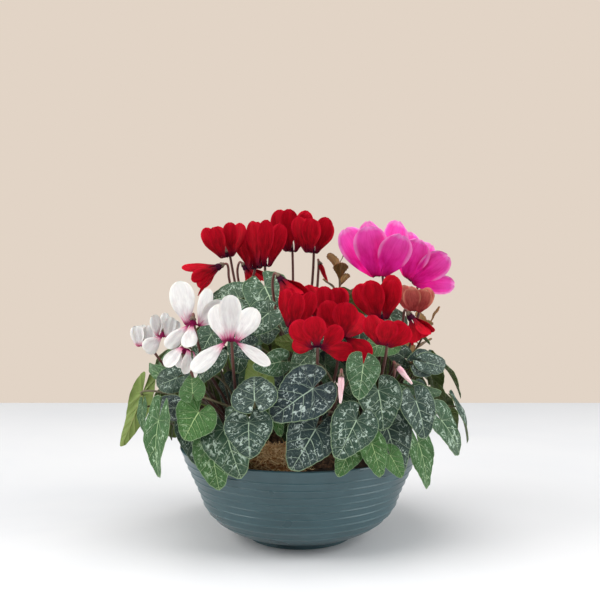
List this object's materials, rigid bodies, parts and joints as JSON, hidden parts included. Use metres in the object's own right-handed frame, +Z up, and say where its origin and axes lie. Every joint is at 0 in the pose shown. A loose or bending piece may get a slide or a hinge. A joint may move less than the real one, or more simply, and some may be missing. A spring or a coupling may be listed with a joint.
{
  "type": "potted cyclamen",
  "caption": "Low round ribbed bowl planted with marbled cyclamens in red, white and pink flower over a dome of heart-shaped leaves; rests on its flat foot.",
  "frame": {"origin": "centre of the pot's flat foot, on the surface that it stands on", "axes": "+Z up; -Y is the front, the side with the coir mound and the white flowers; +X is the right-hand side seen from the front"},
  "size_m": [0.3887, 0.3174, 0.3725],
  "materials": {
    "pot": "satin",
    "soil": "rough",
    "coir": "rough",
    "corm": "rough",
    "foliage": "satin",
    "bronze_foliage": "satin",
    "red_petals": "satin",
    "white_petals": "satin",
    "pink_petals": "satin",
    "salmon_petals": "satin",
    "blush_petals": "satin"
  },
  "bodies": {
    "root": {"pot": "pot", "soil": "soil", "coir_mulch": "coir", "white_corm": "corm", "white_plant": "foliage", "red_front_corm": "corm", "red_front_plant": "foliage", "pink_corm": "corm", "pink_plant": "foliage", "red_back_corm": "corm", "red_back_plant": "foliage", "red_bloom_back_1": "red_petals", "red_bloom_back_2": "red_petals", "red_bloom_back_3": "red_petals", "red_bloom_back_4": "red_petals", "red_bloom_back_5": "red_petals", "red_bloom_back_6": "red_petals", "red_bloom_back_7": "red_petals", "red_bloom_front_1": "red_petals", "red_bloom_front_2": "red_petals", "red_bloom_front_3": "red_petals", "red_bloom_front_4": "red_petals", "red_bloom_front_5": "red_petals", "red_bloom_front_6": "red_petals", "red_bloom_front_7": "red_petals", "red_bloom_front_8": "red_petals", "white_bloom_left_1": "white_petals", "white_bloom_left_2": "white_petals", "white_bloom_left_3": "white_petals", "white_bloom_left_4": "white_petals", "white_bloom_left_5": "white_petals", "pink_bloom_right_1": "pink_petals", "pink_bloom_right_2": "pink_petals", "salmon_bloom_right_3": "salmon_petals", "blush_bud_front": "blush_petals", "blush_bud_right": "blush_petals", "red_bud_back": "red_petals", "bronze_sprig_left": "bronze_foliage", "bronze_sprig_right": "bronze_foliage"}
  },
  "joints": []
}
